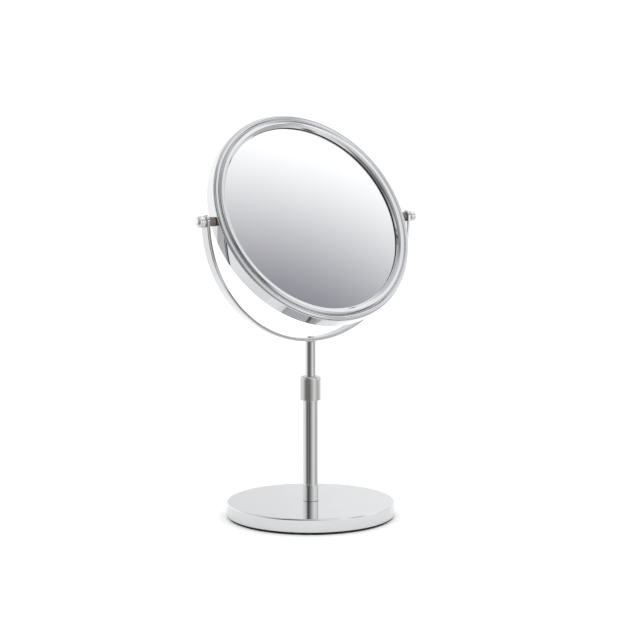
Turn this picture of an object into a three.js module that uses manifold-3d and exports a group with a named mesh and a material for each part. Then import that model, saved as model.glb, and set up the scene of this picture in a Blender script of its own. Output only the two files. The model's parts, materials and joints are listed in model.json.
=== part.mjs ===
// Double-sided shaving mirror on a height-adjustable pedestal.
// Millimetres, +Z up. The origin is the centre of the base's underside, the tilt axis is
// parallel to X, and the flat mirror faces -Y, leaning back.
import * as THREE from "three";
import { mergeVertices } from "three/addons/utils/BufferGeometryUtils.js";
import Module from "manifold-3d";

const wasm = await Module();
wasm.setup();

// ---- Driving dimensions -------------------------------------------------------------

const RING_SEGMENTS = 48; // base and mirror head
const TUBE_SEGMENTS = 24; // column and knobs
const SCREW_SEGMENTS = 16; // screws, washers and inserts
const YOKE_SEGMENTS = 32; // half circle of the yoke
const GAP = 0.3; // between neighbours in the turned head and at moving faces
const FIT = 0.1; // between pressed or bolted neighbours

const BASE_RADIUS = 75;
const BASE_TOP = 14;
const BASE_WALL = 1.2;
const BASE_EDGE = 1.4; // rounding of the base's top edge
const PAD_RADIUS = 73;
const PAD_HEIGHT = 2;

const LOWER_TUBE_RADIUS = 7;
const LOWER_TUBE_TOP = 116;
const TUBE_WALL = 1;
const FOOT_PLUG_TOP = 24;

const COLLAR_RADIUS = 9.4;
const COLLAR_BOTTOM = 105;
const COLLAR_TOP = 126.5;
const COLLAR_EDGE = 2.5; // rounding of the collar's shoulder

const UPPER_TUBE_RADIUS = 4.8;
const UPPER_TUBE_BOTTOM = 57.3;
const GLIDE_LENGTH = 9;
const CLIP_THICKNESS = 0.8;

const PIVOT_HEIGHT = 265.5;
const YOKE_RADIUS = 109.5; // outer face of the bent strip
const YOKE_THICKNESS = 3.2;
const YOKE_WIDTH = 10.8;
const YOKE_RISE = 1.7; // bend centre above the tilt axis
const YOKE_END_RISE = 0.6; // centre of the round arm ends above the tilt axis

const HEAD_TILT = THREE.MathUtils.degToRad(27.3); // lean of the mirror from upright
const BAND_RADIUS = 99.6;
const BAND_WALL = 1.2;
const BAND_HALF_WIDTH = 6.3;
const RIM_RADIUS = 98.8; // outer edge of the bezels, just inside the band's
const RIM_BEAD = [[98.0, 8.0], [96.9, 8.4], [95.8, 7.9]]; // outer bead, in (radius, height)
const RIM_CREASE = [94.4, 6.8]; // foot of the step between the bead and the crown
const RIM_CROWN = [[93.3, 9.0], [92.6, 9.25], [90.4, 8.5], [88.5, 7.0]]; // down to the glass
const LIP_RADIUS = 87.6; // visible edge of the glass
const LIP_FRONT = 5.3;
const LIP_THICKNESS = 0.4;
const GLASS_RADIUS = 90.3;
const GLASS_FRONT = 4.0;
const FLAT_GLASS = 1.8; // thickness
const CURVED_GLASS = 1.6; // thickness
const MAGNIFIER_RADIUS = 1250; // curvature of the magnifying mirror

const STUD_RADIUS = 2;
const SPACER_RADIUS = 4;
const KNOB_RADIUS = 5;
const KNOB_END = 117.4; // outermost point of a knob from the centre line

// ---- Derived places -----------------------------------------------------------------

const YOKE_INNER = YOKE_RADIUS - YOKE_THICKNESS;
const YOKE_BOTTOM = PIVOT_HEIGHT + YOKE_RISE - YOKE_RADIUS;
const LOWER_TUBE_BORE = LOWER_TUBE_RADIUS - TUBE_WALL;
const UPPER_TUBE_BORE = UPPER_TUBE_RADIUS - TUBE_WALL;
const GLIDE_BOTTOM = UPPER_TUBE_BOTTOM + GAP;
const CLIP_BOTTOM = GLIDE_BOTTOM + GLIDE_LENGTH + GAP;
const RIM_SEAT = BAND_HALF_WIDTH + GAP; // back of the bezel's rim, in front of the band
const SKIRT_RADIUS = BAND_RADIUS - BAND_WALL - GAP;

// ---- Materials ----------------------------------------------------------------------

function metal(color, roughness) {
  return new THREE.MeshStandardMaterial({ color, roughness, metalness: 1 });
}

function plastic(color, roughness) {
  return new THREE.MeshStandardMaterial({ color, roughness, metalness: 0 });
}

const CHROME = metal(0xe6e8ea, 0.06);
const SATIN = metal(0xc9c9c6, 0.3);
const STEEL = metal(0xb4b6b8, 0.35);
const BRASS = metal(0xc8a860, 0.35);
const IRON = metal(0x55575a, 0.6);
const SILVERED_GLASS = metal(0xf2f4f5, 0.02);
const RUBBER = plastic(0x141414, 0.85);
const NYLON = plastic(0xe8e6df, 0.55);
const BLACK_PLASTIC = plastic(0x1c1c1e, 0.5);
const SPACER_BROWN = plastic(0x3a2c22, 0.4);

// ---- Outlines and solids ------------------------------------------------------------

// Points of a circular arc in an outline, angles in degrees.
function arc(centreX, centreY, radius, from, to, steps) {
  const points = [];
  for (let i = 0; i <= steps; i += 1) {
    const angle = THREE.MathUtils.degToRad(from + ((to - from) * i) / steps);
    points.push([centreX + radius * Math.cos(angle), centreY + radius * Math.sin(angle)]);
  }
  return points;
}

// An outline of [radius, height] points turned about +Z. An outline that stays off the
// axis is closed on itself.
function turned(outline, segments) {
  const points = outline.map(([radius, height]) => new THREE.Vector2(radius, height));
  if (THREE.ShapeUtils.area(points) < 0) points.reverse();
  const onAxis = points.some((point) => point.x === 0);
  if (!onAxis) points.push(points[0].clone());
  while (onAxis && !(points[0].x === 0 && points.at(-1).x === 0)) points.push(points.shift());
  return new THREE.LatheGeometry(points, segments).rotateX(Math.PI / 2);
}

// A plain ring or, with an inner radius of 0, a plain disc.
function ring(inner, outer, bottom, top, segments) {
  return turned(
    [
      [inner, bottom],
      [outer, bottom],
      [outer, top],
      [inner, top],
    ],
    segments,
  );
}

// Turns a +Z solid so that its axis points along +X (side 1) or -X (side -1).
function sideways(geometry, side) {
  return geometry.rotateY((side * Math.PI) / 2);
}

function toSolid(geometry) {
  const bare = geometry.index ? geometry.toNonIndexed() : geometry.clone();
  bare.deleteAttribute("normal");
  bare.deleteAttribute("uv");
  const merged = mergeVertices(bare, 1e-4);
  return new wasm.Manifold(
    new wasm.Mesh({
      numProp: 3,
      vertProperties: merged.getAttribute("position").array,
      triVerts: new Uint32Array(merged.index.array),
    }),
  );
}

function toGeometry(solid) {
  const { vertProperties, triVerts } = solid.getMesh();
  const geometry = new THREE.BufferGeometry();
  geometry.setAttribute("position", new THREE.BufferAttribute(vertProperties, 3));
  geometry.setIndex(new THREE.BufferAttribute(triVerts, 1));
  geometry.computeVertexNormals();
  return geometry;
}

function cut(geometry, ...cutters) {
  let solid = toSolid(geometry);
  for (const cutter of cutters) solid = solid.subtract(toSolid(cutter));
  return toGeometry(solid);
}

function mesh(name, geometry, material) {
  const made = new THREE.Mesh(geometry, material);
  made.name = name;
  return made;
}

// A six-sided key socket whose mouth is at the given height.
function keySocket(radius, mouth, depth) {
  const overrun = 1;
  const socket = new THREE.CylinderGeometry(radius, radius, depth + overrun, 6);
  return socket.rotateX(Math.PI / 2).translate(0, 0, mouth - depth + (depth + overrun) / 2);
}

// ---- Base ---------------------------------------------------------------------------

function basePad() {
  const chamfer = 0.3;
  return turned(
    [
      [0, 0],
      [PAD_RADIUS - chamfer, 0],
      [PAD_RADIUS, chamfer],
      [PAD_RADIUS, PAD_HEIGHT],
      [0, PAD_HEIGHT],
    ],
    RING_SEGMENTS,
  );
}

const BOLT_HOLE = 3.3;
const COUNTERBORE = 8;
const COUNTERBORE_TOP = 8.4;

function baseCover() {
  const bottom = PAD_HEIGHT + 0.2;
  const ceiling = BASE_TOP - BASE_WALL;
  return turned(
    [
      [BASE_RADIUS - BASE_WALL, bottom],
      [BASE_RADIUS, bottom],
      ...arc(BASE_RADIUS - BASE_EDGE, BASE_TOP - BASE_EDGE, BASE_EDGE, 0, 90, 4),
      [BOLT_HOLE, BASE_TOP],
      [BOLT_HOLE, ceiling],
      [BASE_RADIUS - BASE_WALL, ceiling],
    ],
    RING_SEGMENTS,
  );
}

function baseWeight() {
  const bottom = PAD_HEIGHT + 0.2;
  const top = BASE_TOP - BASE_WALL - 0.2;
  const radius = BASE_RADIUS - BASE_WALL - GAP;
  return turned(
    [
      [COUNTERBORE, bottom],
      [radius, bottom],
      [radius, top],
      [BOLT_HOLE, top],
      [BOLT_HOLE, COUNTERBORE_TOP],
      [COUNTERBORE, COUNTERBORE_TOP],
    ],
    RING_SEGMENTS,
  );
}

const BOLT_RADIUS = 2.95;
const BOLT_HEAD_TOP = 7.2;

function baseBolt() {
  const headRadius = 5;
  const headBottom = 3.2;
  const end = FOOT_PLUG_TOP - 2;
  const chamfer = 0.6;
  const blank = turned(
    [
      [0, headBottom],
      [headRadius - chamfer, headBottom],
      [headRadius, headBottom + chamfer],
      [headRadius, BOLT_HEAD_TOP],
      [BOLT_RADIUS, BOLT_HEAD_TOP],
      [BOLT_RADIUS, end],
      [0, end],
    ],
    SCREW_SEGMENTS,
  );
  const socketRadius = 2.9;
  const socketDepth = 2.4;
  const socket = keySocket(socketRadius, 0, socketDepth).rotateX(Math.PI).translate(0, 0, headBottom);
  return cut(blank, socket);
}

function baseWasher() {
  const top = COUNTERBORE_TOP - FIT;
  const outer = COUNTERBORE - 0.5;
  return ring(BOLT_RADIUS + 0.25, outer, BOLT_HEAD_TOP + FIT, top, SCREW_SEGMENTS);
}

// ---- Column -------------------------------------------------------------------------

function tubeFootPlug() {
  const outer = LOWER_TUBE_BORE - FIT;
  return ring(BOLT_RADIUS + FIT, outer, BASE_TOP + FIT, FOOT_PLUG_TOP, SCREW_SEGMENTS);
}

function lowerTube() {
  return ring(LOWER_TUBE_BORE, LOWER_TUBE_RADIUS, BASE_TOP + FIT, LOWER_TUBE_TOP, TUBE_SEGMENTS);
}

const COLLET_BORE = UPPER_TUBE_RADIUS + 0.2;
const COLLET_SEAT = 119; // top of the threaded bush
const COLLET_TOP = 124.2;
const COLLET_ROOT_RADIUS = 6.8; // the cone's wide end
const COLLET_TIP_RADIUS = 6.0; // and its narrow end
const THREAD_RADIUS = 8;

// Threaded bush pressed into the lower tube: its rim carries the collar's thread.
function colletBush() {
  const spigot = LOWER_TUBE_BORE - FIT;
  const bottom = 103.5;
  return turned(
    [
      [COLLET_BORE, bottom],
      [spigot, bottom],
      [spigot, LOWER_TUBE_TOP + FIT],
      [THREAD_RADIUS, LOWER_TUBE_TOP + FIT],
      [THREAD_RADIUS, COLLET_SEAT],
      [COLLET_BORE, COLLET_SEAT],
    ],
    TUBE_SEGMENTS,
  );
}

// Slit cone that the collar squeezes onto the upper tube.
function splitCollet() {
  const bottom = COLLET_SEAT + 0.2;
  const cone = turned(
    [
      [COLLET_BORE, bottom],
      [COLLET_ROOT_RADIUS, bottom],
      [COLLET_TIP_RADIUS, COLLET_TOP],
      [COLLET_BORE, COLLET_TOP],
    ],
    TUBE_SEGMENTS,
  );
  const slitWidth = 1.2;
  const slit = new THREE.BoxGeometry(2 * THREAD_RADIUS, slitWidth, 20);
  return cut(cone, slit.translate(THREAD_RADIUS, 0, COLLET_TOP));
}

function lockCollar() {
  const chamfer = 0.4;
  const skirtBore = LOWER_TUBE_RADIUS + 0.2;
  const skirtHeight = 2;
  const threadBore = THREAD_RADIUS + 0.15;
  const coneClearance = 0.4;
  return turned(
    [
      [skirtBore, COLLAR_BOTTOM],
      [COLLAR_RADIUS - chamfer, COLLAR_BOTTOM],
      [COLLAR_RADIUS, COLLAR_BOTTOM + chamfer],
      ...arc(COLLAR_RADIUS - COLLAR_EDGE, COLLAR_TOP - COLLAR_EDGE, COLLAR_EDGE, 0, 90, 5),
      [UPPER_TUBE_RADIUS + GAP, COLLAR_TOP],
      [UPPER_TUBE_RADIUS + GAP, COLLET_TOP + coneClearance],
      [COLLET_TIP_RADIUS + coneClearance, COLLET_TOP + GAP],
      [COLLET_ROOT_RADIUS + GAP, COLLET_SEAT + 0.9],
      [threadBore, COLLET_SEAT + 0.7],
      [threadBore, COLLAR_BOTTOM + skirtHeight],
      [skirtBore, COLLAR_BOTTOM + skirtHeight],
    ],
    TUBE_SEGMENTS,
  );
}

// ---- Mast ---------------------------------------------------------------------------

const GROOVE_DEPTH = 0.4;
const MAST_TOP = YOKE_BOTTOM - FIT;

function upperTube() {
  const groove = UPPER_TUBE_RADIUS - GROOVE_DEPTH;
  return turned(
    [
      [UPPER_TUBE_BORE, UPPER_TUBE_BOTTOM],
      [UPPER_TUBE_RADIUS, UPPER_TUBE_BOTTOM],
      [UPPER_TUBE_RADIUS, CLIP_BOTTOM - FIT],
      [groove, CLIP_BOTTOM - FIT],
      [groove, CLIP_BOTTOM + CLIP_THICKNESS + FIT],
      [UPPER_TUBE_RADIUS, CLIP_BOTTOM + CLIP_THICKNESS + FIT],
      [UPPER_TUBE_RADIUS, MAST_TOP],
      [UPPER_TUBE_BORE, MAST_TOP],
    ],
    TUBE_SEGMENTS,
  );
}

// Nylon sleeve that slides in the lower tube while the upper tube turns in it.
function glideBush() {
  const inner = UPPER_TUBE_RADIUS + FIT;
  const outer = LOWER_TUBE_BORE - 0.15;
  return ring(inner, outer, GLIDE_BOTTOM, GLIDE_BOTTOM + GLIDE_LENGTH, TUBE_SEGMENTS);
}

const END_FLANGE = 5.6; // radius of the clip and of the end plug's flange

function glideClip() {
  const inner = UPPER_TUBE_RADIUS - GROOVE_DEPTH + FIT;
  const blank = ring(inner, END_FLANGE, CLIP_BOTTOM, CLIP_BOTTOM + CLIP_THICKNESS, TUBE_SEGMENTS);
  const mouth = new THREE.BoxGeometry(2 * END_FLANGE, 3, 4);
  return cut(blank, mouth.translate(END_FLANGE, 0, CLIP_BOTTOM));
}

function tubeEndPlug() {
  const spigot = UPPER_TUBE_BORE - FIT;
  const spigotEnd = UPPER_TUBE_BOTTOM + 5;
  const flangeTop = UPPER_TUBE_BOTTOM - 0.2;
  const flangeThickness = 1.1;
  return turned(
    [
      [0, flangeTop - flangeThickness],
      [END_FLANGE, flangeTop - flangeThickness],
      [END_FLANGE, flangeTop],
      [spigot, flangeTop],
      [spigot, spigotEnd],
      [0, spigotEnd],
    ],
    SCREW_SEGMENTS,
  );
}

const YOKE_SCREW_RADIUS = 1.95;

function tubeTopInsert() {
  const outer = UPPER_TUBE_BORE - FIT;
  const length = 12.5;
  const top = MAST_TOP - 0.2;
  return ring(YOKE_SCREW_RADIUS + FIT, outer, top - length, top, SCREW_SEGMENTS);
}

// Flat strip bent to a half circle, its two ends rounded about the tilt axis.
function yoke() {
  const armTop = YOKE_END_RISE + YOKE_WIDTH / 2;
  const strip = new THREE.Shape();
  strip.moveTo(-YOKE_RADIUS, armTop);
  strip.lineTo(-YOKE_RADIUS, YOKE_RISE);
  strip.absarc(0, YOKE_RISE, YOKE_RADIUS, Math.PI, 2 * Math.PI, false);
  strip.lineTo(YOKE_RADIUS, armTop);
  strip.lineTo(YOKE_INNER, armTop);
  strip.lineTo(YOKE_INNER, YOKE_RISE);
  strip.absarc(0, YOKE_RISE, YOKE_INNER, 2 * Math.PI, Math.PI, true);
  strip.lineTo(-YOKE_INNER, armTop);
  const settings = { depth: YOKE_WIDTH, bevelEnabled: false, curveSegments: YOKE_SEGMENTS };
  const blank = new THREE.ExtrudeGeometry(strip, settings);
  blank.translate(0, 0, -YOKE_WIDTH / 2).rotateX(Math.PI / 2);

  const span = 2 * YOKE_RADIUS + 20;
  const endBlock = new THREE.BoxGeometry(span, YOKE_WIDTH + 4, YOKE_WIDTH);
  endBlock.translate(0, 0, YOKE_END_RISE + YOKE_WIDTH / 2);
  const endRound = sideways(ring(0, YOKE_WIDTH / 2, -span, span, TUBE_SEGMENTS), 1);
  const corners = cut(endBlock, endRound.translate(0, 0, YOKE_END_RISE));

  const studHole = sideways(ring(0, STUD_RADIUS + 0.2, -span, span, SCREW_SEGMENTS), 1);
  const holeRadius = YOKE_SCREW_RADIUS + 0.2;
  const screwHole = ring(0, holeRadius, -YOKE_RADIUS - 5, -YOKE_INNER + 5, SCREW_SEGMENTS);
  return cut(blank, corners, studHole, screwHole);
}

function yokeScrew() {
  const seat = YOKE_BOTTOM + YOKE_THICKNESS + 0.25;
  const end = MAST_TOP - 11;
  const headRadius = 3.4;
  const headHeight = 0.8;
  const headEdge = 0.3;
  const socketDepth = 0.6;
  const blank = turned(
    [
      [0, end],
      [YOKE_SCREW_RADIUS, end],
      [YOKE_SCREW_RADIUS, seat],
      [headRadius, seat],
      [headRadius, seat + headHeight - headEdge],
      [headRadius - headEdge, seat + headHeight],
      [0, seat + headHeight],
    ],
    SCREW_SEGMENTS,
  );
  return cut(blank, keySocket(1.5, seat + headHeight, socketDepth));
}

// ---- Mirror head, turned about its own +Z, which is the way the flat mirror faces ------

function radialHoles(radius) {
  const span = BAND_RADIUS + 10;
  return sideways(ring(0, radius, -span, span, SCREW_SEGMENTS), 1);
}

function rimBand() {
  const edge = 0.5;
  const outline = [
    [BAND_RADIUS - BAND_WALL, -BAND_HALF_WIDTH],
    [BAND_RADIUS - edge, -BAND_HALF_WIDTH],
    [BAND_RADIUS, edge - BAND_HALF_WIDTH],
    [BAND_RADIUS, BAND_HALF_WIDTH - edge],
    [BAND_RADIUS - edge, BAND_HALF_WIDTH],
    [BAND_RADIUS - BAND_WALL, BAND_HALF_WIDTH],
  ];
  return cut(turned(outline, RING_SEGMENTS), radialHoles(STUD_RADIUS + 0.2));
}

// Front ring: a small outer bead, a step up to the crown, and the crown's slope to the glass.
function bezel() {
  const skirtWall = 1.1;
  const skirtEnd = 2.6;
  const edge = 0.6;
  const lipBack = LIP_FRONT - LIP_THICKNESS;
  const backStep = 91.2;
  return turned(
    [
      [SKIRT_RADIUS - skirtWall, skirtEnd],
      [SKIRT_RADIUS, skirtEnd],
      [SKIRT_RADIUS, RIM_SEAT],
      [RIM_RADIUS, RIM_SEAT],
      [RIM_RADIUS, RIM_SEAT + edge],
      ...RIM_BEAD,
      RIM_CREASE,
      ...RIM_CROWN,
      [LIP_RADIUS, LIP_FRONT],
      [LIP_RADIUS, lipBack],
      [backStep, lipBack],
      [backStep + 2, lipBack + 1.1],
      [SKIRT_RADIUS - skirtWall, lipBack + 1.1],
    ],
    RING_SEGMENTS,
  );
}

// Thin black seal between the glass and the bezel's lip.
function glassSeal() {
  const front = LIP_FRONT - LIP_THICKNESS - GAP;
  const outer = GLASS_RADIUS + GAP;
  return ring(LIP_RADIUS + 0.2, outer, GLASS_FRONT + GAP, front, RING_SEGMENTS);
}

function flatGlass() {
  return ring(0, GLASS_RADIUS, GLASS_FRONT - FLAT_GLASS, GLASS_FRONT, RING_SEGMENTS);
}

// Dished glass; like the flat one it faces +Z here and is turned to face the other way.
function curvedGlass() {
  const dish = GLASS_RADIUS ** 2 / (2 * MAGNIFIER_RADIUS);
  const surface = [];
  const rings = 4;
  for (let i = 0; i <= rings; i += 1) {
    const radius = (GLASS_RADIUS * i) / rings;
    surface.push([radius, GLASS_FRONT - dish + radius ** 2 / (2 * MAGNIFIER_RADIUS)]);
  }
  const back = surface.map(([radius, height]) => [radius, height - CURVED_GLASS]).reverse();
  return turned([...surface, ...back], RING_SEGMENTS);
}

const CORE_FRONT = GLASS_FRONT - FLAT_GLASS - GAP;
const CORE_THICKNESS = 0.7;

// Stiff sheet behind the flat glass.
function corePlate() {
  return ring(0, GLASS_RADIUS, CORE_FRONT - CORE_THICKNESS, CORE_FRONT, RING_SEGMENTS);
}

// Foam ring that presses the dished glass forwards, off the core plate.
function foamRing() {
  const inner = 80;
  const outer = GLASS_RADIUS - 2;
  const glassBack = CURVED_GLASS - GLASS_FRONT;
  return ring(inner, outer, glassBack + 0.7, CORE_FRONT - CORE_THICKNESS - GAP, RING_SEGMENTS);
}

const CARRIER_INNER = 91.6;
const CARRIER_OUTER = 96.6;
const INSERT_RADIUS = 3.1;

// Moulded ring inside the band that holds the glasses' rims and the two pivot inserts.
function carrierRing() {
  const halfWidth = 4.6;
  const blank = ring(CARRIER_INNER, CARRIER_OUTER, -halfWidth, halfWidth, RING_SEGMENTS);
  return cut(blank, radialHoles(INSERT_RADIUS + GAP));
}

// ---- Pivots, along X on the tilt axis ------------------------------------------------

function pivotInsert(side) {
  const inner = CARRIER_INNER + 0.4;
  return sideways(ring(STUD_RADIUS + FIT, INSERT_RADIUS, inner, CARRIER_OUTER, SCREW_SEGMENTS), side);
}

function spacerBush(side) {
  const inner = BAND_RADIUS + GAP;
  const outer = YOKE_INNER - GAP;
  return sideways(ring(STUD_RADIUS + 0.15, SPACER_RADIUS, inner, outer, TUBE_SEGMENTS), side);
}

const STUD_END = 113.5;
const WASHER_INNER_FACE = YOKE_RADIUS + 0.25;
const WASHER_OUTER_FACE = WASHER_INNER_FACE + 0.9;

function pivotStud(side) {
  return sideways(ring(0, STUD_RADIUS, CARRIER_INNER + 1, STUD_END, SCREW_SEGMENTS), side);
}

function pivotWasher(side) {
  const blank = ring(
    STUD_RADIUS + 0.2,
    KNOB_RADIUS - 0.2,
    WASHER_INNER_FACE,
    WASHER_OUTER_FACE,
    TUBE_SEGMENTS,
  );
  return sideways(blank, side);
}

// Domed thumb knob with a shallow groove round it, bored for the stud.
function pivotKnob(side) {
  const back = WASHER_OUTER_FACE + 0.1;
  const domeHeight = 2.2;
  const groove = KNOB_END - domeHeight - 0.6;
  const outline = [
    [STUD_RADIUS + FIT, back],
    [KNOB_RADIUS, back],
    [KNOB_RADIUS, groove - 0.5],
    [KNOB_RADIUS - 0.5, groove],
    [KNOB_RADIUS, groove + 0.5],
  ];
  const domeSteps = 5;
  for (let i = 1; i <= domeSteps; i += 1) {
    const angle = (Math.PI / 2) * (i / domeSteps);
    const radius = i === domeSteps ? 0 : KNOB_RADIUS * Math.cos(angle);
    outline.push([radius, KNOB_END - domeHeight * (1 - Math.sin(angle))]);
  }
  outline.push([0, STUD_END + 0.2]);
  outline.push([STUD_RADIUS + FIT, STUD_END + 0.2]);
  return sideways(turned(outline, TUBE_SEGMENTS), side);
}

// ---- Assembly -----------------------------------------------------------------------

const mirror = new THREE.Group();

const base = new THREE.Group();
base.add(
  mesh("base_pad", basePad(), RUBBER),
  mesh("base_cover", baseCover(), CHROME),
  mesh("base_weight", baseWeight(), IRON),
  mesh("base_washer", baseWasher(), STEEL),
  mesh("base_bolt", baseBolt(), STEEL),
  mesh("tube_foot_plug", tubeFootPlug(), STEEL),
  mesh("lower_tube", lowerTube(), CHROME),
  mesh("collet_bush", colletBush(), BRASS),
  mesh("split_collet", splitCollet(), NYLON),
);

const mast = new THREE.Group();
mast.add(
  mesh("upper_tube", upperTube(), CHROME),
  mesh("tube_end_plug", tubeEndPlug(), BLACK_PLASTIC),
  mesh("glide_clip", glideClip(), STEEL),
  mesh("tube_top_insert", tubeTopInsert(), STEEL),
  mesh("yoke_screw", yokeScrew(), CHROME),
);
const yokeMesh = mesh("yoke", yoke(), CHROME);
yokeMesh.position.z = PIVOT_HEIGHT;
mast.add(yokeMesh);

const head = new THREE.Group();
head.position.z = PIVOT_HEIGHT;
head.rotation.x = Math.PI / 2 - HEAD_TILT;
head.add(
  mesh("rim_band", rimBand(), CHROME),
  mesh("carrier_ring", carrierRing(), BLACK_PLASTIC),
  mesh("core_plate", corePlate(), BLACK_PLASTIC),
  mesh("foam_ring", foamRing(), BLACK_PLASTIC),
);
const faces = [
  ["front", flatGlass(), 0],
  ["rear", curvedGlass(), Math.PI],
];
for (const [name, glass, turn] of faces) {
  const face = new THREE.Group();
  face.rotation.x = turn;
  face.add(
    mesh(`${name}_bezel`, bezel(), CHROME),
    mesh(`${name}_seal`, glassSeal(), RUBBER),
    mesh(`${name}_mirror`, glass, SILVERED_GLASS),
  );
  head.add(face);
}

const pivots = new THREE.Group();
pivots.position.z = PIVOT_HEIGHT;
const sides = [
  ["left", -1],
  ["right", 1],
];
for (const [name, side] of sides) {
  pivots.add(
    mesh(`pivot_insert_${name}`, pivotInsert(side), BRASS),
    mesh(`spacer_bush_${name}`, spacerBush(side), SPACER_BROWN),
    mesh(`pivot_stud_${name}`, pivotStud(side), STEEL),
    mesh(`pivot_washer_${name}`, pivotWasher(side), STEEL),
    mesh(`pivot_knob_${name}`, pivotKnob(side), CHROME),
  );
}

mirror.add(base);
mirror.add(mesh("lock_collar", lockCollar(), SATIN));
mirror.add(mesh("glide_bush", glideBush(), NYLON));
mirror.add(mast, head, pivots);

export default mirror;
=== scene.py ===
"""Looks for a double-sided shaving mirror that stands on a telescopic column.

Metres, +Z up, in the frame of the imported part. Outlines are written in millimetres.
"""
import json
import math

import bpy
from mathutils import Matrix, Vector


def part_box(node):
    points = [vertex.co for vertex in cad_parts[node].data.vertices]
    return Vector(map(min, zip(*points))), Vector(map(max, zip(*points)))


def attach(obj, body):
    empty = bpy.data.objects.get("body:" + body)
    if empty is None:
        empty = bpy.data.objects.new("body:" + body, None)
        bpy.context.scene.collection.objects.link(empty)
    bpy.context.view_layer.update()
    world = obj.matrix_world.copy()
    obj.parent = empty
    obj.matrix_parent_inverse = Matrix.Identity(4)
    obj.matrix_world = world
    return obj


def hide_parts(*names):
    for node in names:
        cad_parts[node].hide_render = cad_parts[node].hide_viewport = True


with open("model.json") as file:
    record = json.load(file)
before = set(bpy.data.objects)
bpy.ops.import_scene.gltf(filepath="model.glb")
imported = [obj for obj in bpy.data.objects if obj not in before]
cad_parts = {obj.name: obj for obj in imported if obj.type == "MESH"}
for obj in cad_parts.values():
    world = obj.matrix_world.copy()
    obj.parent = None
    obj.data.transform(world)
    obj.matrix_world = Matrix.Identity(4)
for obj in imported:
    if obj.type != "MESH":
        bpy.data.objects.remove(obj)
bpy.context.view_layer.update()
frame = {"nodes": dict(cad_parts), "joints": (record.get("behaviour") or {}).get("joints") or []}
nodes = frame["nodes"]
MM = 0.001


# ---- Places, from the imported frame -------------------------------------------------

def joint_place(name):
    for joint in frame["joints"]:
        if joint["name"] == name:
            return Vector(joint["pos_m"])
    raise ValueError(name)


def box_mm(node):
    low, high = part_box(node)
    return low / MM, high / MM


PIVOT = joint_place("head_tilt")
glass_low, glass_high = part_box("front_mirror")
HEAD_NORMAL = ((glass_low + glass_high) / 2 - PIVOT).normalized()
HEAD_PLACE = Matrix.Translation(PIVOT) @ HEAD_NORMAL.to_track_quat("Z", "X").to_matrix().to_4x4()
HEAD_BACK_PLACE = HEAD_PLACE @ Matrix.Rotation(math.pi, 4, "X")
UPRIGHT = Matrix.Identity(4)


def pivot_place(side):
    """Axis along X, outwards on that side, from the tilt axis."""
    return Matrix.Translation(PIVOT) @ Matrix.Rotation(side * math.pi / 2, 4, "Y")


# ---- Camera ------------------------------------------------------------------------

CAMERA_AZIMUTH = math.radians(35.44)  # round to the left of the front
CAMERA_DISTANCE = 1.3746  # from the column, along the floor
CAMERA_HEIGHT = 0.3178
CAMERA_PAN = math.radians(0.35)
CAMERA_PITCH = math.radians(5.88)
CAMERA_LENS = 87.8  # mm
CAMERA_SENSOR = 36  # mm


def add_camera():
    heading = CAMERA_AZIMUTH + CAMERA_PAN
    level = math.cos(CAMERA_PITCH)
    forward = Vector((math.sin(heading) * level, math.cos(heading) * level, -math.sin(CAMERA_PITCH)))
    data = bpy.data.cameras.new("camera")
    data.lens = CAMERA_LENS
    data.sensor_width = CAMERA_SENSOR
    data.clip_start = 0.05
    data.clip_end = 50
    camera = bpy.data.objects.new("camera", data)
    camera.location = (
        -math.sin(CAMERA_AZIMUTH) * CAMERA_DISTANCE,
        -math.cos(CAMERA_AZIMUTH) * CAMERA_DISTANCE,
        CAMERA_HEIGHT,
    )
    camera.rotation_mode = "QUATERNION"
    camera.rotation_quaternion = forward.to_track_quat("-Z", "Y")
    bpy.context.scene.collection.objects.link(camera)
    bpy.context.scene.camera = camera


add_camera()


# ---- Meshes ------------------------------------------------------------------------

SEGMENTS = 256
SMALL_SEGMENTS = 96  # for pieces under 20 mm across
LEAST_ROUND = 0.05  # mm, the sharpest edge
ROUND_STEP = math.radians(12)  # the most that one facet of a rounded edge turns
ON_AXIS = 1e-6  # mm, points nearer to the axis than this are on it


def rounded(corners, closed=True):
    """Points and outward normals of an outline whose corners (x, y, rounding) are rounded.

    The corners go anticlockwise round the solid. An open outline starts and ends on the axis.
    """
    count = len(corners)
    points, normals = [], []
    for i, (x, y, radius) in enumerate(corners):
        here = Vector((x, y))
        before = Vector(corners[i - 1][:2])
        after = Vector(corners[(i + 1) % count][:2])
        if not closed and i in (0, count - 1):
            along = (after - here) if i == 0 else (here - before)
            along.normalize()
            points.append(here)
            normals.append(Vector((along.y, -along.x)))
            continue
        arriving = (here - before).normalized()
        leaving = (after - here).normalized()
        turn = -arriving.angle_signed(leaving)
        radius = max(radius, LEAST_ROUND)
        reach = radius * math.tan(abs(turn) / 2)
        start = here - arriving * reach
        first_normal = Vector((arriving.y, -arriving.x))
        bend = 1 if turn > 0 else -1
        centre = start - first_normal * radius * bend
        steps = max(3, math.ceil(abs(turn) / ROUND_STEP))
        for k in range(steps + 1):
            angle = turn * k / steps
            c, s = math.cos(angle), math.sin(angle)
            across, up = first_normal
            normal = Vector((across * c - up * s, across * s + up * c))
            points.append(centre + normal * radius * bend)
            normals.append(normal)
    return points, normals


def make_mesh(name, vertices, faces, normals, place):
    mesh = bpy.data.meshes.new(name)
    mesh.from_pydata(vertices, [], faces)
    mesh.shade_smooth()
    mesh.transform(place)
    turn = place.to_3x3()
    mesh.normals_split_custom_set_from_vertices([(turn @ Vector(n)).normalized() for n in normals])
    made = bpy.data.objects.new(name, mesh)
    bpy.context.scene.collection.objects.link(made)
    return made


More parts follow.
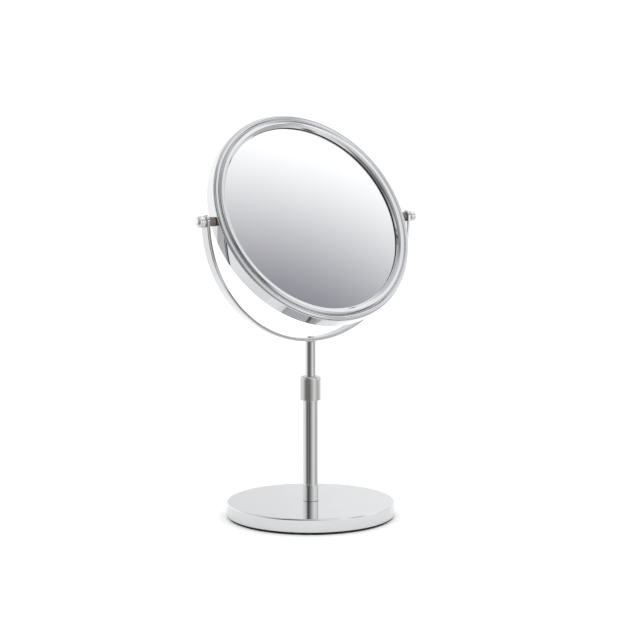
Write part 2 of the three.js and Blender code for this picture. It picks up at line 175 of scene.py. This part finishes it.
def revolve(name, corners, place, closed=True, segments=SEGMENTS):
    """An outline of (radius, height, rounding) in mm, turned about the Z axis of its place."""
    points, point_normals = rounded(corners, closed)
    vertices, normals, rows = [], [], []
    for point, normal in zip(points, point_normals):
        if point.x < ON_AXIS:
            vertices.append((0, 0, point.y * MM))
            normals.append((0, 0, 1 if normal.y > 0 else -1))
            rows.append([len(vertices) - 1] * segments)
            continue
        row = []
        for j in range(segments):
            angle = 2 * math.pi * j / segments
            c, s = math.cos(angle), math.sin(angle)
            vertices.append((point.x * c * MM, point.x * s * MM, point.y * MM))
            normals.append((normal.x * c, normal.x * s, normal.y))
            row.append(len(vertices) - 1)
        rows.append(row)
    if closed:
        rows.append(rows[0])
    faces = []
    for low, high in zip(rows, rows[1:]):
        for j in range(segments):
            k = (j + 1) % segments
            face = [low[j], low[k], high[k], high[j]]
            faces.append(tuple(dict.fromkeys(face)))
    return make_mesh(name, vertices, faces, normals, place)


# ---- Materials ---------------------------------------------------------------------

def new_material(name):
    material = bpy.data.materials.new(name)
    material.use_nodes = True
    tree = material.node_tree
    return material, tree, tree.nodes["Principled BSDF"]


def add_node(tree, kind, **inputs):
    node = tree.nodes.new(kind)
    for key, value in inputs.items():
        node.inputs[key.replace("_", " ")].default_value = value
    return node


def object_coordinates(tree, scale):
    """Object coordinates in metres, stretched by scale."""
    place = tree.nodes.new("ShaderNodeTexCoord")
    stretch = tree.nodes.new("ShaderNodeMapping")
    stretch.inputs["Scale"].default_value = scale
    tree.links.new(place.outputs["Object"], stretch.inputs["Vector"])
    return stretch.outputs["Vector"]


def noise(tree, vector, scale, detail):
    node = add_node(tree, "ShaderNodeTexNoise", Scale=scale, Detail=detail)
    tree.links.new(vector, node.inputs["Vector"])
    return node.outputs["Fac"]


NOISE_RANGE = (0.3, 0.7)  # where nearly all of the noise lies


def remap(tree, value, low, high):
    """Noise spread out from low to high."""
    node = tree.nodes.new("ShaderNodeMapRange")
    node.inputs["From Min"].default_value = NOISE_RANGE[0]
    node.inputs["From Max"].default_value = NOISE_RANGE[1]
    node.inputs["To Min"].default_value = low
    node.inputs["To Max"].default_value = high
    tree.links.new(value, node.inputs["Value"])
    return node.outputs["Result"]


def tint(tree, value, dark, light):
    node = tree.nodes.new("ShaderNodeMix")
    node.data_type = "RGBA"
    node.inputs["A"].default_value = (*dark, 1)
    node.inputs["B"].default_value = (*light, 1)
    tree.links.new(value, node.inputs["Factor"])
    return node.outputs["Result"]


def bump(tree, height, depth, shader):
    node = add_node(tree, "ShaderNodeBump", Strength=1.0, Distance=depth)
    tree.links.new(height, node.inputs["Height"])
    tree.links.new(node.outputs["Normal"], shader.inputs["Normal"])


# Noise scales of the large patches, in patches to a metre.
METAL_PATCHES = 18
PLASTIC_PATCHES = 40
GLASS_PATCHES = 12
PAPER_PATCHES = 3


def metal(name, dark, light, rough, grain, depth, stretch=(1, 1, 1)):
    """Plated or bare metal: large soft patches in colour and gloss, and a fine grain in the surface.

    rough is the least and the most roughness, grain the number of grains in a metre before
    the stretch, and depth the height of the grain in metres.
    """
    material, tree, shader = new_material(name)
    shader.inputs["Metallic"].default_value = 1
    even = object_coordinates(tree, (1, 1, 1))
    patches = noise(tree, even, METAL_PATCHES, 3)
    tree.links.new(tint(tree, remap(tree, patches, 0, 1), dark, light), shader.inputs["Base Color"])
    grains = noise(tree, object_coordinates(tree, stretch), grain, 3)
    mixed = tree.nodes.new("ShaderNodeMath")
    mixed.operation = "ADD"
    tree.links.new(remap(tree, patches, rough[0], (rough[0] + rough[1]) / 2), mixed.inputs[0])
    tree.links.new(remap(tree, grains, 0, (rough[1] - rough[0]) / 2), mixed.inputs[1])
    tree.links.new(mixed.outputs[0], shader.inputs["Roughness"])
    bump(tree, grains, depth, shader)
    return material


def moulded(name, dark, light, rough, grain=1500, depth=2e-5):
    """Plastic, rubber or foam with a fine even grain."""
    material, tree, shader = new_material(name)
    even = object_coordinates(tree, (1, 1, 1))
    patches = noise(tree, even, PLASTIC_PATCHES, 3)
    grains = noise(tree, even, grain, 3)
    tree.links.new(tint(tree, remap(tree, patches, 0, 1), dark, light), shader.inputs["Base Color"])
    tree.links.new(remap(tree, grains, rough[0], rough[1]), shader.inputs["Roughness"])
    bump(tree, grains, depth, shader)
    return material


def silvered(name, dark, light, rough):
    """Mirror glass, of which the silver is what shows."""
    material, tree, shader = new_material(name)
    shader.inputs["Metallic"].default_value = 1
    shader.inputs["IOR"].default_value = 1.52
    even = object_coordinates(tree, (1, 1, 1))
    patches = noise(tree, even, GLASS_PATCHES, 2)
    tree.links.new(tint(tree, remap(tree, patches, 0, 1), dark, light), shader.inputs["Base Color"])
    tree.links.new(remap(tree, patches, rough[0], rough[1]), shader.inputs["Roughness"])
    return material


CHROME = metal("chrome", (0.595, 0.602, 0.612), (0.612, 0.62, 0.632), (0.03, 0.06), grain=220, depth=4e-7)
TUBE_CHROME = metal(
    "tube_chrome", (0.585, 0.585, 0.59), (0.61, 0.61, 0.61), (0.05, 0.09),
    grain=2600, depth=6e-7, stretch=(1, 1, 0.02),
)
KNOB_CHROME = metal(
    "knob_chrome", (0.66, 0.66, 0.66), (0.72, 0.72, 0.72), (0.24, 0.34),
    grain=2400, depth=2e-6, stretch=(1, 0.03, 0.03),
)
SATIN = metal(
    "satin", (0.50, 0.495, 0.49), (0.54, 0.535, 0.53), (0.17, 0.26),
    grain=5200, depth=4e-6, stretch=(0.02, 0.02, 1),
)
STEEL = metal("zinc_steel", (0.42, 0.43, 0.44), (0.52, 0.53, 0.53), (0.25, 0.42), grain=900, depth=1e-5)
BRASS = metal("brass", (0.62, 0.47, 0.22), (0.72, 0.56, 0.29), (0.2, 0.34), grain=900, depth=1e-5)
IRON = metal("cast_iron", (0.05, 0.05, 0.053), (0.09, 0.09, 0.092), (0.5, 0.75), grain=700, depth=2e-4)
RUBBER = moulded("rubber", (0.004, 0.004, 0.0045), (0.007, 0.007, 0.0075), (0.7, 0.9))
# Near-black rubber of the seal. The colour is also painted shade: the dark ring of shadow in the gap
# between the bezel lip and the glass.
SEAL_AND_GAP_SHADE = moulded("seal", (0.006, 0.006, 0.007), (0.010, 0.010, 0.011), (0.5, 0.7))
BLACK_PLASTIC = moulded("black_plastic", (0.02, 0.02, 0.021), (0.03, 0.03, 0.032), (0.4, 0.55))
NYLON = moulded("nylon", (0.78, 0.77, 0.72), (0.84, 0.83, 0.79), (0.4, 0.55))
FOAM = moulded("foam", (0.05, 0.05, 0.05), (0.09, 0.09, 0.09), (0.85, 1.0), grain=900, depth=3e-4)
SPACER = moulded("spacer", (0.10, 0.078, 0.062), (0.135, 0.105, 0.085), (0.18, 0.28), depth=4e-6)
SILVERED = silvered("silvered_glass", (0.90, 0.905, 0.91), (0.915, 0.92, 0.92), (0.004, 0.012))


# ---- Pieces ------------------------------------------------------------------------

def finish_piece(piece, body, node, material):
    piece.data.materials.clear()
    piece.data.materials.append(material)
    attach(piece, body)
    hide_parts(node)
    return piece


def base_pad():
    high = box_mm("base_pad")[1]
    corners = [(0, 0, 0), (high.x, 0, 0.3), (high.x, high.z, 0.2), (0, high.z, 0)]
    piece = revolve("base_pad_skin", corners, UPRIGHT, closed=False)
    finish_piece(piece, "base", "base_pad", RUBBER)


BASE_WALL = 1.2
BASE_HOLE = 3.3  # radius, for the bolt


def base_cover():
    low, high = box_mm("base_cover")
    inner = high.x - BASE_WALL
    corners = [
        (inner, low.z, 0.5),
        (high.x, low.z, 0.6),
        (high.x, high.z, 1.3),
        (BASE_HOLE, high.z, 0.2),
        (BASE_HOLE, high.z - BASE_WALL, 0.2),
        (inner, high.z - BASE_WALL, 0.3),
    ]
    piece = revolve("base_shell", corners, UPRIGHT)
    finish_piece(piece, "base", "base_cover", CHROME)


TUBE_WALL = 1.0


def tube(name, body, node):
    low, high = box_mm(node)
    inner = high.x - TUBE_WALL
    corners = [
        (inner, low.z, 0.2),
        (high.x, low.z, 0.25),
        (high.x, high.z, 0.25),
        (inner, high.z, 0.2),
    ]
    piece = revolve(name, corners, UPRIGHT, segments=SMALL_SEGMENTS)
    finish_piece(piece, body, node, TUBE_CHROME)


# Inside the collar: radii, and distances down from its top.
COLLAR_SKIRT = 7.2  # round the lower tube
COLLAR_SKIRT_HEIGHT = 2
COLLAR_THREAD = 8.15
COLLAR_THREAD_START = 6.8
COLLAR_CONE = (6.4, 7.1)  # radii at the top and the foot of the cone that squeezes the collet
COLLAR_CONE_START = 2.0
COLLAR_CONE_END = 6.6
COLLAR_MOUTH = 5.1
COLLAR_MOUTH_DEPTH = 1.9


def lock_collar():
    low, high = box_mm("lock_collar")
    cone_top, cone_foot = COLLAR_CONE
    corners = [
        (COLLAR_SKIRT, low.z, 0.2),
        (high.x, low.z, 0.35),
        (high.x, high.z, 2.5),
        (COLLAR_MOUTH, high.z, 0.3),
        (COLLAR_MOUTH, high.z - COLLAR_MOUTH_DEPTH, 0.1),
        (cone_top, high.z - COLLAR_CONE_START, 0.1),
        (cone_foot, high.z - COLLAR_CONE_END, 0.1),
        (COLLAR_THREAD, high.z - COLLAR_THREAD_START, 0.1),
        (COLLAR_THREAD, low.z + COLLAR_SKIRT_HEIGHT, 0.1),
        (COLLAR_SKIRT, low.z + COLLAR_SKIRT_HEIGHT, 0.1),
    ]
    piece = revolve("twist_collar", corners, UPRIGHT, segments=SMALL_SEGMENTS)
    finish_piece(piece, "collar", "lock_collar", SATIN)


SCREW_SHANK = 1.95  # radius
SCREW_HEAD_HEIGHT = 0.8
SOCKET_RADIUS = 1.5
SOCKET_DEPTH = 0.6


def yoke_screw():
    low, high = box_mm("yoke_screw")
    seat = high.z - SCREW_HEAD_HEIGHT
    corners = [
        (0, low.z, 0),
        (SCREW_SHANK, low.z, 0.3),
        (SCREW_SHANK, seat, 0.1),
        (high.x, seat, 0.15),
        (high.x, high.z, 0.45),
        (SOCKET_RADIUS, high.z, 0.1),
        (SOCKET_RADIUS, high.z - SOCKET_DEPTH, 0.05),
        (0, high.z - SOCKET_DEPTH, 0),
    ]
    piece = revolve("yoke_screw_turned", corners, UPRIGHT, closed=False, segments=SMALL_SEGMENTS)
    finish_piece(piece, "mast", "yoke_screw", CHROME)


YOKE_THICKNESS = 3.2
YOKE_RISE = 1.7  # bend centre above the tilt axis
YOKE_END_RISE = 0.6  # centre of the round arm ends above the tilt axis
YOKE_EDGE = 1.0  # rounding of the strip's long edges
YOKE_END_STEPS = 14
YOKE_RUN_STEPS = 160
YOKE_EDGE_STEPS = 6


def yoke():
    """A flat strip with round ends and rounded edges, bent to a half circle."""
    high = box_mm("yoke")[1]
    outer, half_width = high.x, high.y
    middle = outer - YOKE_THICKNESS / 2
    pivot_z = PIVOT.z / MM
    half_length = middle * (math.pi / 2) - (YOKE_RISE - YOKE_END_RISE)

    # One long side of the flat strip, from end to end: (place along it, outward direction).
    outline = []
    for k in range(YOKE_END_STEPS):
        angle = math.pi / 2 * k / YOKE_END_STEPS
        outline.append((-half_length, -math.cos(angle), math.sin(angle)))
    for k in range(YOKE_RUN_STEPS + 1):
        outline.append((-half_length + 2 * half_length * k / YOKE_RUN_STEPS, 0.0, 1.0))
    for k in range(1, YOKE_END_STEPS + 1):
        angle = math.pi / 2 * (1 - k / YOKE_END_STEPS)
        outline.append((half_length, math.cos(angle), math.sin(angle)))

    # The edge's profile: (inset from the outline, height from the middle, normal out, normal up).
    profile = []
    half = YOKE_THICKNESS / 2
    for sign in (1, -1):
        for k in range(YOKE_EDGE_STEPS + 1):
            part = k / YOKE_EDGE_STEPS
            angle = math.pi / 2 * (1 - part if sign > 0 else part)
            out, up = math.cos(angle), math.sin(angle) * sign
            profile.append((YOKE_EDGE * (1 - out), (half - YOKE_EDGE) * sign + YOKE_EDGE * up, out, up))

    def bent(along, across, height):
        angle = along / middle - math.pi / 2
        radius = middle + height
        if abs(along) > middle * math.pi / 2:
            beyond = abs(along) - middle * math.pi / 2
            place = Vector((math.copysign(radius, along), across, beyond))
        else:
            place = Vector((radius * math.cos(angle), across, radius * math.sin(angle)))
        return (place + Vector((0, 0, pivot_z + YOKE_RISE))) * MM

    def bent_normal(along, n_along, n_across, n_up):
        angle = max(-math.pi, min(0, along / middle - math.pi / 2))
        radial = Vector((math.cos(angle), 0, math.sin(angle)))
        tangent = Vector((-math.sin(angle), 0, math.cos(angle)))
        return radial * n_up + tangent * n_along + Vector((0, n_across, 0))

    vertices, normals, front, back = [], [], [], []
    for row, side in ((front, -1), (back, 1)):
        for index, (centre, n_along, n_across) in enumerate(outline):
            column = []
            at_tip = index in (0, len(outline) - 1)
            for level, (inset, height, out, up) in enumerate(profile):
                if at_tip and side > 0:
                    column.append(front[index][level])
                    continue
                reach = half_width - inset
                along, across = centre + n_along * reach, n_across * reach * side
                if at_tip:
                    across = 0.0
                vertices.append(bent(along, across, height))
                normals.append(bent_normal(along, n_along * out, n_across * out * side, up))
                column.append(len(vertices) - 1)
            row.append(column)
    faces = []
    last = len(profile) - 1
    for k in range(len(outline) - 1):
        this_front, next_front = front[k], front[k + 1]
        this_back, next_back = back[k], back[k + 1]
        for low, high in zip(range(last), range(1, last + 1)):
            faces.append((this_front[low], next_front[low], next_front[high], this_front[high]))
            faces.append((this_back[low], this_back[high], next_back[high], next_back[low]))
        faces.append((this_front[0], this_back[0], next_back[0], next_front[0]))
        faces.append((this_front[last], next_front[last], next_back[last], this_back[last]))
    faces = [tuple(dict.fromkeys(face)) for face in faces]
    piece = make_mesh("yoke_strip", vertices, faces, normals, UPRIGHT)
    finish_piece(piece, "mast", "yoke", CHROME)


# Head, in (radius, distance in front of the tilt axis). The back of it is the same, turned round.

BAND_WALL = 1.2
BAND_HALF_WIDTH = 6.3


def rim_band():
    radius = box_mm("rim_band")[1].x
    inner = radius - BAND_WALL
    corners = [
        (inner, -BAND_HALF_WIDTH, 0.15),
        (radius, -BAND_HALF_WIDTH, 0.5),
        (radius, BAND_HALF_WIDTH, 0.5),
        (inner, BAND_HALF_WIDTH, 0.15),
    ]
    piece = revolve("head_band", corners, HEAD_PLACE)
    finish_piece(piece, "head", "rim_band", CHROME)


LIP_RADIUS = 87.6
LIP_FRONT = 5.3
LIP_BACK = LIP_FRONT - 0.4
SKIRT_STEP = 0.7  # from the rim in to the skirt that fits inside the band
SKIRT_WALL = 1.1
SKIRT_END = 2.6
BEZEL_BEAD = [(96.9, 8.7, 1.9), (94.8, 7.2, 0.15)]
BEZEL_CREASE = [(94.6, 6.75, 0.1), (94.2, 6.75, 0.1)]
BEZEL_CROWN = [(94.0, 7.7, 0.15), (93.0, 9.4, 0.7)]
BEZEL_SLOPE = [(90.4, 8.6, 4.5), (88.5, 7.1, 2.5)]
BEZEL_INSIDE = [(91.2, LIP_BACK, 0.3), (93.2, 6.0, 0.3)]  # round the glass and the seal


def bezel(name, node, place):
    """A ring with an outer bead, a narrow crease, a crown and a slope down to the lip on the glass."""
    outer = box_mm(node)[1].x
    skirt = outer - SKIRT_STEP
    seat = BAND_HALF_WIDTH + 0.3
    corners = [
        (skirt - SKIRT_WALL, SKIRT_END, 0.1),
        (skirt, SKIRT_END, 0.1),
        (skirt, seat, 0.1),
        (outer, seat, 0.15),
        (outer, seat + 0.8, 0.7),
        *BEZEL_BEAD,
        *BEZEL_CREASE,
        *BEZEL_CROWN,
        *BEZEL_SLOPE,
        (LIP_RADIUS, LIP_FRONT, 0.2),
        (LIP_RADIUS, LIP_BACK, 0.1),
        *BEZEL_INSIDE,
        (skirt - SKIRT_WALL, 6.2, 0.3),
    ]
    piece = revolve(name, corners, place)
    finish_piece(piece, "head", node, CHROME)


GLASS_LEVEL = 3.9  # silvered face, as deep as it looks through the glass
GLASS_RADIUS = 90.3
GLASS_SHOWN = 0.7  # thickness of the shown piece
SEAL_RADII = (LIP_RADIUS + 0.3, 90.6)


def seal(name, node, place):
    inner, outer = SEAL_RADII
    # The seal's inner wall runs down to the glass, so its near-black colour shows inside the lip as a ring
    # of painted gap shadow.
    back, front = GLASS_LEVEL + 0.05, LIP_FRONT - 0.7
    corners = [(inner, back, 0.05), (outer, back, 0.05), (outer, front, 0.1), (inner, front, 0.15)]
    piece = revolve(name, corners, place)
    finish_piece(piece, "head", node, SEAL_AND_GAP_SHADE)


def flat_mirror():
    corners = [
        (0, GLASS_LEVEL - GLASS_SHOWN, 0),
        (GLASS_RADIUS, GLASS_LEVEL - GLASS_SHOWN, 0.1),
        (GLASS_RADIUS, GLASS_LEVEL, 0.1),
        (0, GLASS_LEVEL, 0),
    ]
    piece = revolve("flat_glass", corners, HEAD_PLACE, closed=False)
    finish_piece(piece, "head", "front_mirror", SILVERED)


MAGNIFIER_RADIUS = 1250  # mm, curvature of the dished glass
MAGNIFIER_RINGS = 24


def dished_mirror():
    dish = GLASS_RADIUS ** 2 / (2 * MAGNIFIER_RADIUS)
    surface = []
    for k in range(MAGNIFIER_RINGS + 1):
        radius = GLASS_RADIUS * k / MAGNIFIER_RINGS
        surface.append((radius, GLASS_LEVEL - dish + radius ** 2 / (2 * MAGNIFIER_RADIUS), 0.2))
    back = [(radius, height - GLASS_SHOWN, rounding) for radius, height, rounding in surface]
    piece = revolve("dished_glass", back + surface[::-1], HEAD_BACK_PLACE, closed=False)
    finish_piece(piece, "head", "rear_mirror", SILVERED)


# Pivots, in (radius, distance from the centre line)

SPACER_RADII = (2.15, 4.0)  # bore and outside
WASHER_RADII = (2.2, 4.8)
KNOB_BORE = 2.1
KNOB_RADIUS = 5.0
KNOB_BORE_END = 113.7
GROOVE_DEPTH = 0.25
GROOVE_FROM_END = 2.8


def along_x(node):
    """The nearest and farthest distance of a pivot piece from the centre line, in mm."""
    low, high = box_mm(node)
    return sorted((abs(low.x), abs(high.x)))


def spacer_bush(side, label):
    node = "spacer_bush_" + label
    near, far = along_x(node)
    bore, outer = SPACER_RADII
    corners = [(bore, near, 0.1), (outer, near, 0.3), (outer, far, 0.3), (bore, far, 0.1)]
    piece = revolve("spacer_" + label, corners, pivot_place(side), segments=SMALL_SEGMENTS)
    finish_piece(piece, "head", node, SPACER)


def pivot_washer(side, label):
    node = "pivot_washer_" + label
    near, far = along_x(node)
    bore, outer = WASHER_RADII
    corners = [(bore, near, 0.1), (outer, near, 0.2), (outer, far, 0.2), (bore, far, 0.1)]
    piece = revolve("washer_" + label, corners, pivot_place(side), segments=SMALL_SEGMENTS)
    finish_piece(piece, "knob_" + label, node, STEEL)


def pivot_knob(side, label):
    node = "pivot_knob_" + label
    near, far = along_x(node)
    groove = far - GROOVE_FROM_END
    corners = [
        (0, KNOB_BORE_END, 0),
        (KNOB_BORE, KNOB_BORE_END, 0.1),
        (KNOB_BORE, near, 0.1),
        (KNOB_RADIUS, near, 0.3),
        (KNOB_RADIUS, groove - 0.25, 0.12),
        (KNOB_RADIUS - GROOVE_DEPTH, groove - 0.15, 0.05),
        (KNOB_RADIUS - GROOVE_DEPTH, groove + 0.15, 0.05),
        (KNOB_RADIUS, groove + 0.25, 0.12),
        (KNOB_RADIUS - 0.1, far - 1.6, 1.2),
        (KNOB_RADIUS - 2.2, far - 0.25, 2.2),
        (0, far, 0),
    ]
    piece = revolve("knob_" + label, corners, pivot_place(side), closed=False, segments=SMALL_SEGMENTS)
    finish_piece(piece, "knob_" + label, node, KNOB_CHROME)


base_pad()
base_cover()
tube("lower_tube_drawn", "base", "lower_tube")
tube("upper_tube_drawn", "mast", "upper_tube")
lock_collar()
yoke()
yoke_screw()
rim_band()
bezel("bezel_front", "front_bezel", HEAD_PLACE)
bezel("bezel_rear", "rear_bezel", HEAD_BACK_PLACE)
seal("seal_front", "front_seal", HEAD_PLACE)
seal("seal_rear", "rear_seal", HEAD_BACK_PLACE)
flat_mirror()
dished_mirror()
for side, label in ((-1, "left"), (1, "right")):
    spacer_bush(side, label)
    pivot_washer(side, label)
    pivot_knob(side, label)


# ---- Pieces that keep their CAD shape -----------------------------------------------

KEPT = {
    "base_weight": IRON,
    "base_washer": STEEL,
    "base_bolt": STEEL,
    "tube_foot_plug": STEEL,
    "collet_bush": BRASS,
    "split_collet": NYLON,
    "glide_bush": NYLON,
    "tube_end_plug": BLACK_PLASTIC,
    "glide_clip": STEEL,
    "tube_top_insert": STEEL,
    "carrier_ring": BLACK_PLASTIC,
    "core_plate": BLACK_PLASTIC,
    "foam_ring": FOAM,
    "pivot_insert_left": BRASS,
    "pivot_insert_right": BRASS,
    "pivot_stud_left": STEEL,
    "pivot_stud_right": STEEL,
}
for name, material in KEPT.items():
    for place in nodes[name].material_slots:
        place.material = material


# ---- Floor and light ----------------------------------------------------------------

FLOOR_RADIUS = 0.14  # metres
FLOOR_RINGS = 24
FLOOR_STEPS = 96


def add_floor():
    """A round paper sheet. Past its edge the camera sees an equally white backdrop."""
    steps = FLOOR_STEPS
    vertices = [(0, 0, 0)]
    for i in range(1, FLOOR_RINGS + 1):
        radius = FLOOR_RADIUS * i / FLOOR_RINGS
        for j in range(steps):
            angle = 2 * math.pi * j / steps
            vertices.append((radius * math.cos(angle), radius * math.sin(angle), 0))
    faces = [(0, 1 + j, 1 + (j + 1) % steps) for j in range(steps)]
    for i in range(FLOOR_RINGS - 1):
        row = 1 + i * steps
        for j in range(steps):
            k = (j + 1) % steps
            faces.append((row + j, row + steps + j, row + steps + k, row + k))
    mesh = bpy.data.meshes.new("floor")
    mesh.from_pydata(vertices, [], faces)
    floor = bpy.data.objects.new("floor", mesh)
    bpy.context.scene.collection.objects.link(floor)
    material, tree, shader = new_material("floor_paper")
    even = object_coordinates(tree, (1, 1, 1))
    patches = remap(tree, noise(tree, even, PAPER_PATCHES, 2), 0, 1)
    tree.links.new(tint(tree, patches, (0.90, 0.90, 0.90), (0.92, 0.92, 0.92)), shader.inputs["Base Color"])
    shader.inputs["Roughness"].default_value = 0.9
    shader.inputs["Specular IOR Level"].default_value = 0.1
    mesh.materials.append(material)


# What stands round the object: (azimuth, brightness) at three heights, with a smooth change from
# each to the next. Azimuth is in degrees from the front of the mirror (-Y) towards +X, elevation in
# degrees, and the dark stretch is the side that the camera is on.
LOW_WALL = [
    (-180, 1.30), (-158, 1.20), (-133, 1.20), (-118, 1.00), (-100, 0.45), (-93, 0.20), (-78, 0.20),
    (-63, 0.30), (-52, 0.12), (-44, 0.12), (-35, 0.42), (-19, 0.60), (-6, 0.95), (11, 1.20),
    (28, 0.88), (46, 0.65), (67, 0.72), (90, 1.30), (120, 1.40), (180, 1.30),
]
WALL = [
    (-180, 1.40), (-150, 1.40), (-120, 1.25), (-105, 1.00), (-90, 0.50), (-75, 0.12), (-58, 0.18),
    (-38, 0.50), (-15, 0.88), (0, 1.20), (15, 1.50), (60, 1.40), (80, 1.10), (100, 1.05), (125, 1.25),
    (142, 1.08), (148, 0.98), (180, 1.35),
]
HIGH_WALL = [
    (-180, 0.90), (-130, 0.72), (-100, 0.70), (-82, 0.20), (-68, 0.15), (-48, 0.55), (-30, 0.80),
    (-15, 1.30), (0, 1.25), (15, 1.20), (45, 1.35), (75, 1.30), (105, 1.40), (120, 1.50), (135, 1.00),
    (180, 1.00),
]
FLOOR = 1.1
CEILING = 0.88
CEILING_TONE = (0.97, 0.97, 1.04)
FILL = 1.35  # on everything that is not a mirror image

# Elevations where one height starts to give way to the next and where it has done so.
LOW_TO_FLOOR = (-30, -50)
LOW_TO_WALL = (-7, -2)
WALL_TO_HIGH = (20, 42)
HIGH_TO_CEILING = (62, 82)

# Two dark things among the light: (azimuth, elevation), angles at which the edge starts and ends,
# brightness and tone. The flag grays the lower glass, and the stand the yoke's front edge.
FLAG = ((35, 31), (19.3, 10.2), 0.25, (0.95, 0.95, 1.12))
STAND = ((31, -2), (8, 3.5), 0.35, (1.03, 0.99, 0.93))

BRIGHTEST = 1.6  # the ramps hold brightness as a part of this


class Studio:
    """The light that falls on the object, by direction."""

    def __init__(self, tree):
        self.tree = tree
        place = tree.nodes.new("ShaderNodeTexCoord")
        self.direction = place.outputs["Generated"]
        split = tree.nodes.new("ShaderNodeSeparateXYZ")
        tree.links.new(self.direction, split.inputs[0])
        back = self.math("MULTIPLY", split.outputs["Y"], -1)
        self.azimuth = self.math("MULTIPLY", self.math("ARCTAN2", split.outputs["X"], back), 180 / math.pi)
        self.elevation = self.math("MULTIPLY", self.math("ARCSINE", split.outputs["Z"]), 180 / math.pi)

    def math(self, operation, *values):
        node = self.tree.nodes.new("ShaderNodeMath")
        node.operation = operation
        for socket, value in zip(node.inputs, values):
            if isinstance(value, (int, float)):
                socket.default_value = value
            else:
                self.tree.links.new(value, socket)
        return node.outputs[0]

    def smooth(self, value, start, end):
        """0 up to the start and 1 from the end on."""
        node = self.tree.nodes.new("ShaderNodeMapRange")
        node.interpolation_type = "SMOOTHSTEP"
        node.inputs["From Min"].default_value = start
        node.inputs["From Max"].default_value = end
        self.tree.links.new(value, node.inputs["Value"])
        return node.outputs["Result"]

    def wall(self, stops):
        node = self.tree.nodes.new("ShaderNodeValToRGB")
        ramp = node.color_ramp
        ramp.interpolation = "EASE"
        while len(ramp.elements) < len(stops):
            ramp.elements.new(1.0)
        for element, (azimuth, brightness) in zip(ramp.elements, stops):
            element.position = (azimuth + 180) / 360
            gray = brightness / BRIGHTEST
            element.color = (gray, gray, gray, 1)
        place = self.math("DIVIDE", self.math("ADD", self.azimuth, 180), 360)
        self.tree.links.new(place, node.inputs["Fac"])
        return node.outputs["Color"]

    def angle_to(self, azimuth, elevation):
        """Degrees between a direction and the given one."""
        a, e = math.radians(azimuth), math.radians(elevation)
        node = self.tree.nodes.new("ShaderNodeVectorMath")
        node.operation = "DOT_PRODUCT"
        node.inputs[1].default_value = (math.sin(a) * math.cos(e), -math.cos(a) * math.cos(e), math.sin(e))
        self.tree.links.new(self.direction, node.inputs[0])
        return self.math("MULTIPLY", self.math("ARCCOSINE", node.outputs["Value"]), 180 / math.pi)

    def mix(self, mask, below, above):
        """below where the mask is 0 and above where it is 1; both are RGB or sockets."""
        node = self.tree.nodes.new("ShaderNodeMix")
        node.data_type = "RGBA"
        for key, value in (("A", below), ("B", above)):
            if isinstance(value, tuple):
                node.inputs[key].default_value = (*value, 1)
            else:
                self.tree.links.new(value, node.inputs[key])
        self.tree.links.new(mask, node.inputs["Factor"])
        return node.outputs["Result"]


def add_light():
    world = bpy.data.worlds.new("studio")
    bpy.context.scene.world = world
    world.use_nodes = True
    tree = world.node_tree
    background = tree.nodes["Background"]
    studio = Studio(tree)

    def level(brightness, tone=(1, 1, 1)):
        return tuple(brightness / BRIGHTEST * part for part in tone)

    rise = studio.elevation
    colour = studio.mix(studio.smooth(rise, *LOW_TO_WALL), studio.wall(LOW_WALL), studio.wall(WALL))
    colour = studio.mix(studio.smooth(rise, *LOW_TO_FLOOR), colour, level(FLOOR))
    colour = studio.mix(studio.smooth(rise, *WALL_TO_HIGH), colour, studio.wall(HIGH_WALL))
    colour = studio.mix(studio.smooth(rise, *HIGH_TO_CEILING), colour, level(CEILING, CEILING_TONE))
    for place, edge, brightness, tone in (FLAG, STAND):
        patch = studio.smooth(studio.angle_to(*place), *edge)
        colour = studio.mix(patch, colour, level(brightness, tone))

    path = tree.nodes.new("ShaderNodeLightPath")
    colour = studio.mix(path.outputs["Is Glossy Ray"], level(FILL), colour)
    tree.links.new(colour, background.inputs["Color"])
    background.inputs["Strength"].default_value = BRIGHTEST


add_floor()
add_light()
bpy.context.scene.view_settings.view_transform = "Standard"
